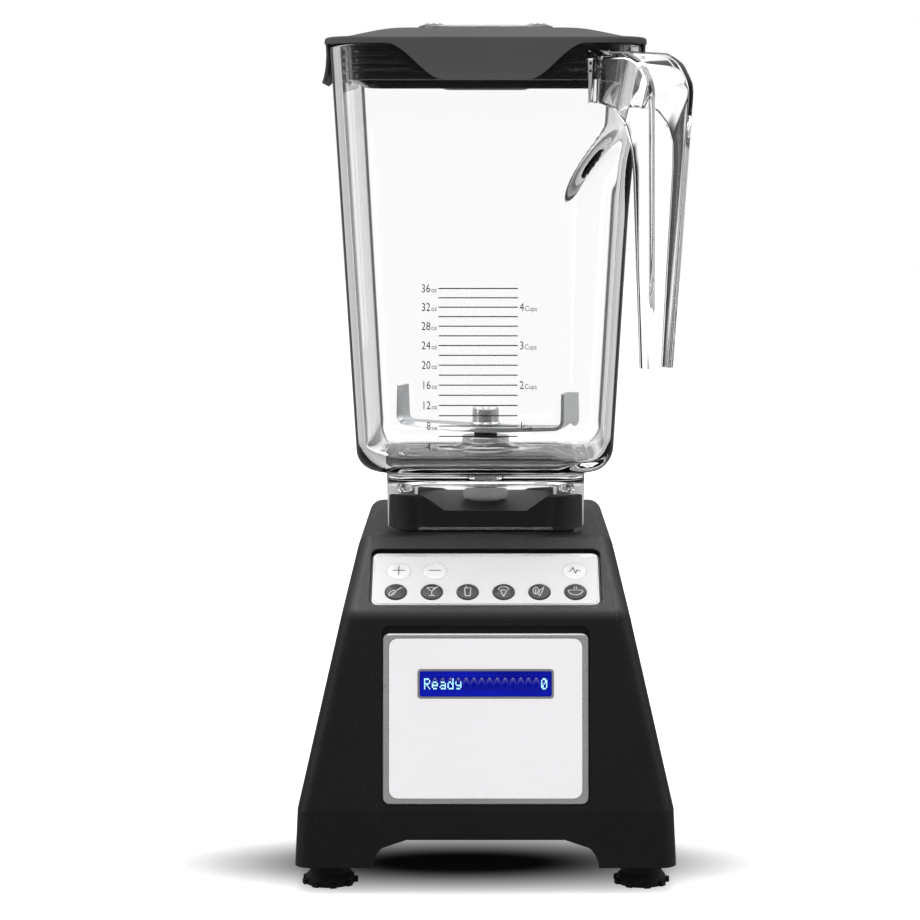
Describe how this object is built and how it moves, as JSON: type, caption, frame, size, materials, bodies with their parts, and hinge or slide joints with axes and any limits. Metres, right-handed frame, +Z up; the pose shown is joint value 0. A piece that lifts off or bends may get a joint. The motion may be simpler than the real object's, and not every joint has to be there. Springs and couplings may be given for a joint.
{
  "type": "countertop blender",
  "caption": "Countertop blender: tapered black base with keys and display, clear square jar with handle and blade, soft lid with clear vent cap.",
  "frame": {"origin": "on the drive axis, at the surface that the feet stand on", "axes": "+Z up along the drive axis; -Y towards the operator, out of the display; +X to the operator's right, where the handle points half way between +X and -Y"},
  "size_m": [0.1819, 0.2078, 0.3963],
  "materials": {
    "black_shell": "fine spark texture, injection moulded ABS",
    "floor_plastic": "moulded, plain",
    "foot_rubber": "moulded, matt",
    "screw_steel": "zinc plated",
    "bezel_silver": "satin silver",
    "keypad_white": "printed polyester sheet, satin",
    "key_white": "glossy",
    "key_black": "glossy with a pale line icon",
    "board_green": "solder-masked fibreglass",
    "display_white": "satin white sheet",
    "lcd_grey": "dark satin frame",
    "lcd_blue": "blue backlit display with pale letters",
    "sink_aluminium": "extruded",
    "switch_black": "glossy nylon",
    "lamination_steel": "stacked laminations",
    "copper_winding": "enamelled copper wire",
    "cast_bracket": "die cast",
    "bearing_steel": "ground",
    "brush_carbon": "pressed graphite",
    "brush_brass": "stamped",
    "fan_plastic": "glass-filled nylon",
    "socket_white": "moulded acetal, satin",
    "clear_copolyester": "clear moulded copolyester, polished",
    "polished_steel": "turned and polished stainless",
    "blade_steel": "forged and polished stainless",
    "seal_rubber": "moulded",
    "lid_rubber": "soft-touch, matt grey-black",
    "plug_rubber": "glossy black elastomer",
    "cap_clear": "clear moulded"
  },
  "bodies": {
    "base": {"housing": "black_shell", "base_plate": "floor_plastic", "base_screws": "screw_steel", "feet": "foot_rubber", "jar_seat": "black_shell", "socket_seal": "seal_rubber", "control_bezel": "bezel_silver", "keypad_overlay": "keypad_white", "keypad_board": "board_green", "key_switches": "brush_carbon", "display_bezel": "bezel_silver", "display_panel": "display_white", "lcd_frame": "lcd_grey", "lcd_window": "lcd_blue", "lcd_module": "board_green", "control_board": "board_green", "heat_sink": "sink_aluminium", "switch_frame": "switch_black", "cord_gland": "seal_rubber", "stator_core": "lamination_steel", "field_coils": "copper_winding", "upper_bracket": "cast_bracket", "lower_bracket": "cast_bracket", "motor_bearings": "bearing_steel", "motor_tie_bolts": "screw_steel", "motor_spacers": "screw_steel", "motor_mounts": "seal_rubber", "motor_screws": "screw_steel", "motor_frame": "cast_bracket", "brush_holders": "brush_brass", "carbon_brushes": "brush_carbon", "brush_springs": "brush_brass"},
    "rotor": {"motor_shaft": "bearing_steel", "armature_core": "lamination_steel", "armature_windings": "copper_winding", "commutator": "copper_winding", "cooling_fan": "fan_plastic", "drive_socket": "socket_white"},
    "jar": {"jar_body": "clear_copolyester", "jar_handle": "clear_copolyester", "bearing_housing": "polished_steel", "jar_bearings": "bearing_steel", "shaft_seal": "seal_rubber", "retaining_nut": "polished_steel"},
    "blade": {"blade_shaft": "polished_steel", "blade": "blade_steel", "blade_cap": "polished_steel"},
    "lid": {"lid_cover": "lid_rubber", "lid_plug": "plug_rubber"},
    "vent_cap": {"vent_cap": "cap_clear"},
    "power_switch": {"power_rocker": "switch_black"},
    "speed_up_button": {"speed_up_button": "key_white"},
    "speed_down_button": {"speed_down_button": "key_white"},
    "pulse_button": {"pulse_button": "key_white"},
    "batter_button": {"batter_button": "key_black"},
    "crushed_ice_button": {"crushed_ice_button": "key_black"},
    "smoothie_button": {"smoothie_button": "key_black"},
    "ice_cream_button": {"ice_cream_button": "key_black"},
    "whole_juice_button": {"whole_juice_button": "key_black"},
    "hot_soup_button": {"hot_soup_button": "key_black"}
  },
  "joints": [
    {"name": "jar_lift", "type": "slide", "parent": "base", "child": "jar", "axis": [0, 0, 1], "range_m": [0, 0.06]},
    {"name": "motor_spin", "type": "hinge", "parent": "base", "child": "rotor", "pos_m": [0, 0, 0.1], "axis": [0, 0, 1], "continuous": true},
    {"name": "blade_spin", "type": "hinge", "parent": "jar", "child": "blade", "pos_m": [0, 0, 0.2], "axis": [0, 0, 1], "continuous": true},
    {"name": "lid_lift", "type": "slide", "parent": "jar", "child": "lid", "axis": [0, 0, 1], "range_m": [0, 0.05]},
    {"name": "vent_cap_lift", "type": "slide", "parent": "lid", "child": "vent_cap", "axis": [0, 0, 1], "range_m": [0, 0.03]},
    {"name": "power_switch_rock", "type": "hinge", "parent": "base", "child": "power_switch", "pos_m": [0.048, 0.08687, 0.06314], "axis": [1, 0, 0], "range_deg": [0, 12]},
    {"name": "speed_up_press", "type": "slide", "parent": "base", "child": "speed_up_button", "axis": [0, 0.584, -0.8117], "range_m": [0, 0.0005], "stiffness_N_per_m": 1500},
    {"name": "speed_down_press", "type": "slide", "parent": "base", "child": "speed_down_button", "axis": [0, 0.584, -0.8117], "range_m": [0, 0.0005], "stiffness_N_per_m": 1500},
    {"name": "pulse_press", "type": "slide", "parent": "base", "child": "pulse_button", "axis": [0, 0.584, -0.8117], "range_m": [0, 0.0005], "stiffness_N_per_m": 1500},
    {"name": "batter_press", "type": "slide", "parent": "base", "child": "batter_button", "axis": [0, 0.584, -0.8117], "range_m": [0, 0.0005], "stiffness_N_per_m": 1500},
    {"name": "crushed_ice_press", "type": "slide", "parent": "base", "child": "crushed_ice_button", "axis": [0, 0.584, -0.8117], "range_m": [0, 0.0005], "stiffness_N_per_m": 1500},
    {"name": "smoothie_press", "type": "slide", "parent": "base", "child": "smoothie_button", "axis": [0, 0.584, -0.8117], "range_m": [0, 0.0005], "stiffness_N_per_m": 1500},
    {"name": "ice_cream_press", "type": "slide", "parent": "base", "child": "ice_cream_button", "axis": [0, 0.584, -0.8117], "range_m": [0, 0.0005], "stiffness_N_per_m": 1500},
    {"name": "whole_juice_press", "type": "slide", "parent": "base", "child": "whole_juice_button", "axis": [0, 0.584, -0.8117], "range_m": [0, 0.0005], "stiffness_N_per_m": 1500},
    {"name": "hot_soup_press", "type": "slide", "parent": "base", "child": "hot_soup_button", "axis": [0, 0.584, -0.8117], "range_m": [0, 0.0005], "stiffness_N_per_m": 1500}
  ],
  "couplings": [
    {"joint": "blade_spin", "follows": "motor_spin", "ratio": 1}
  ]
}
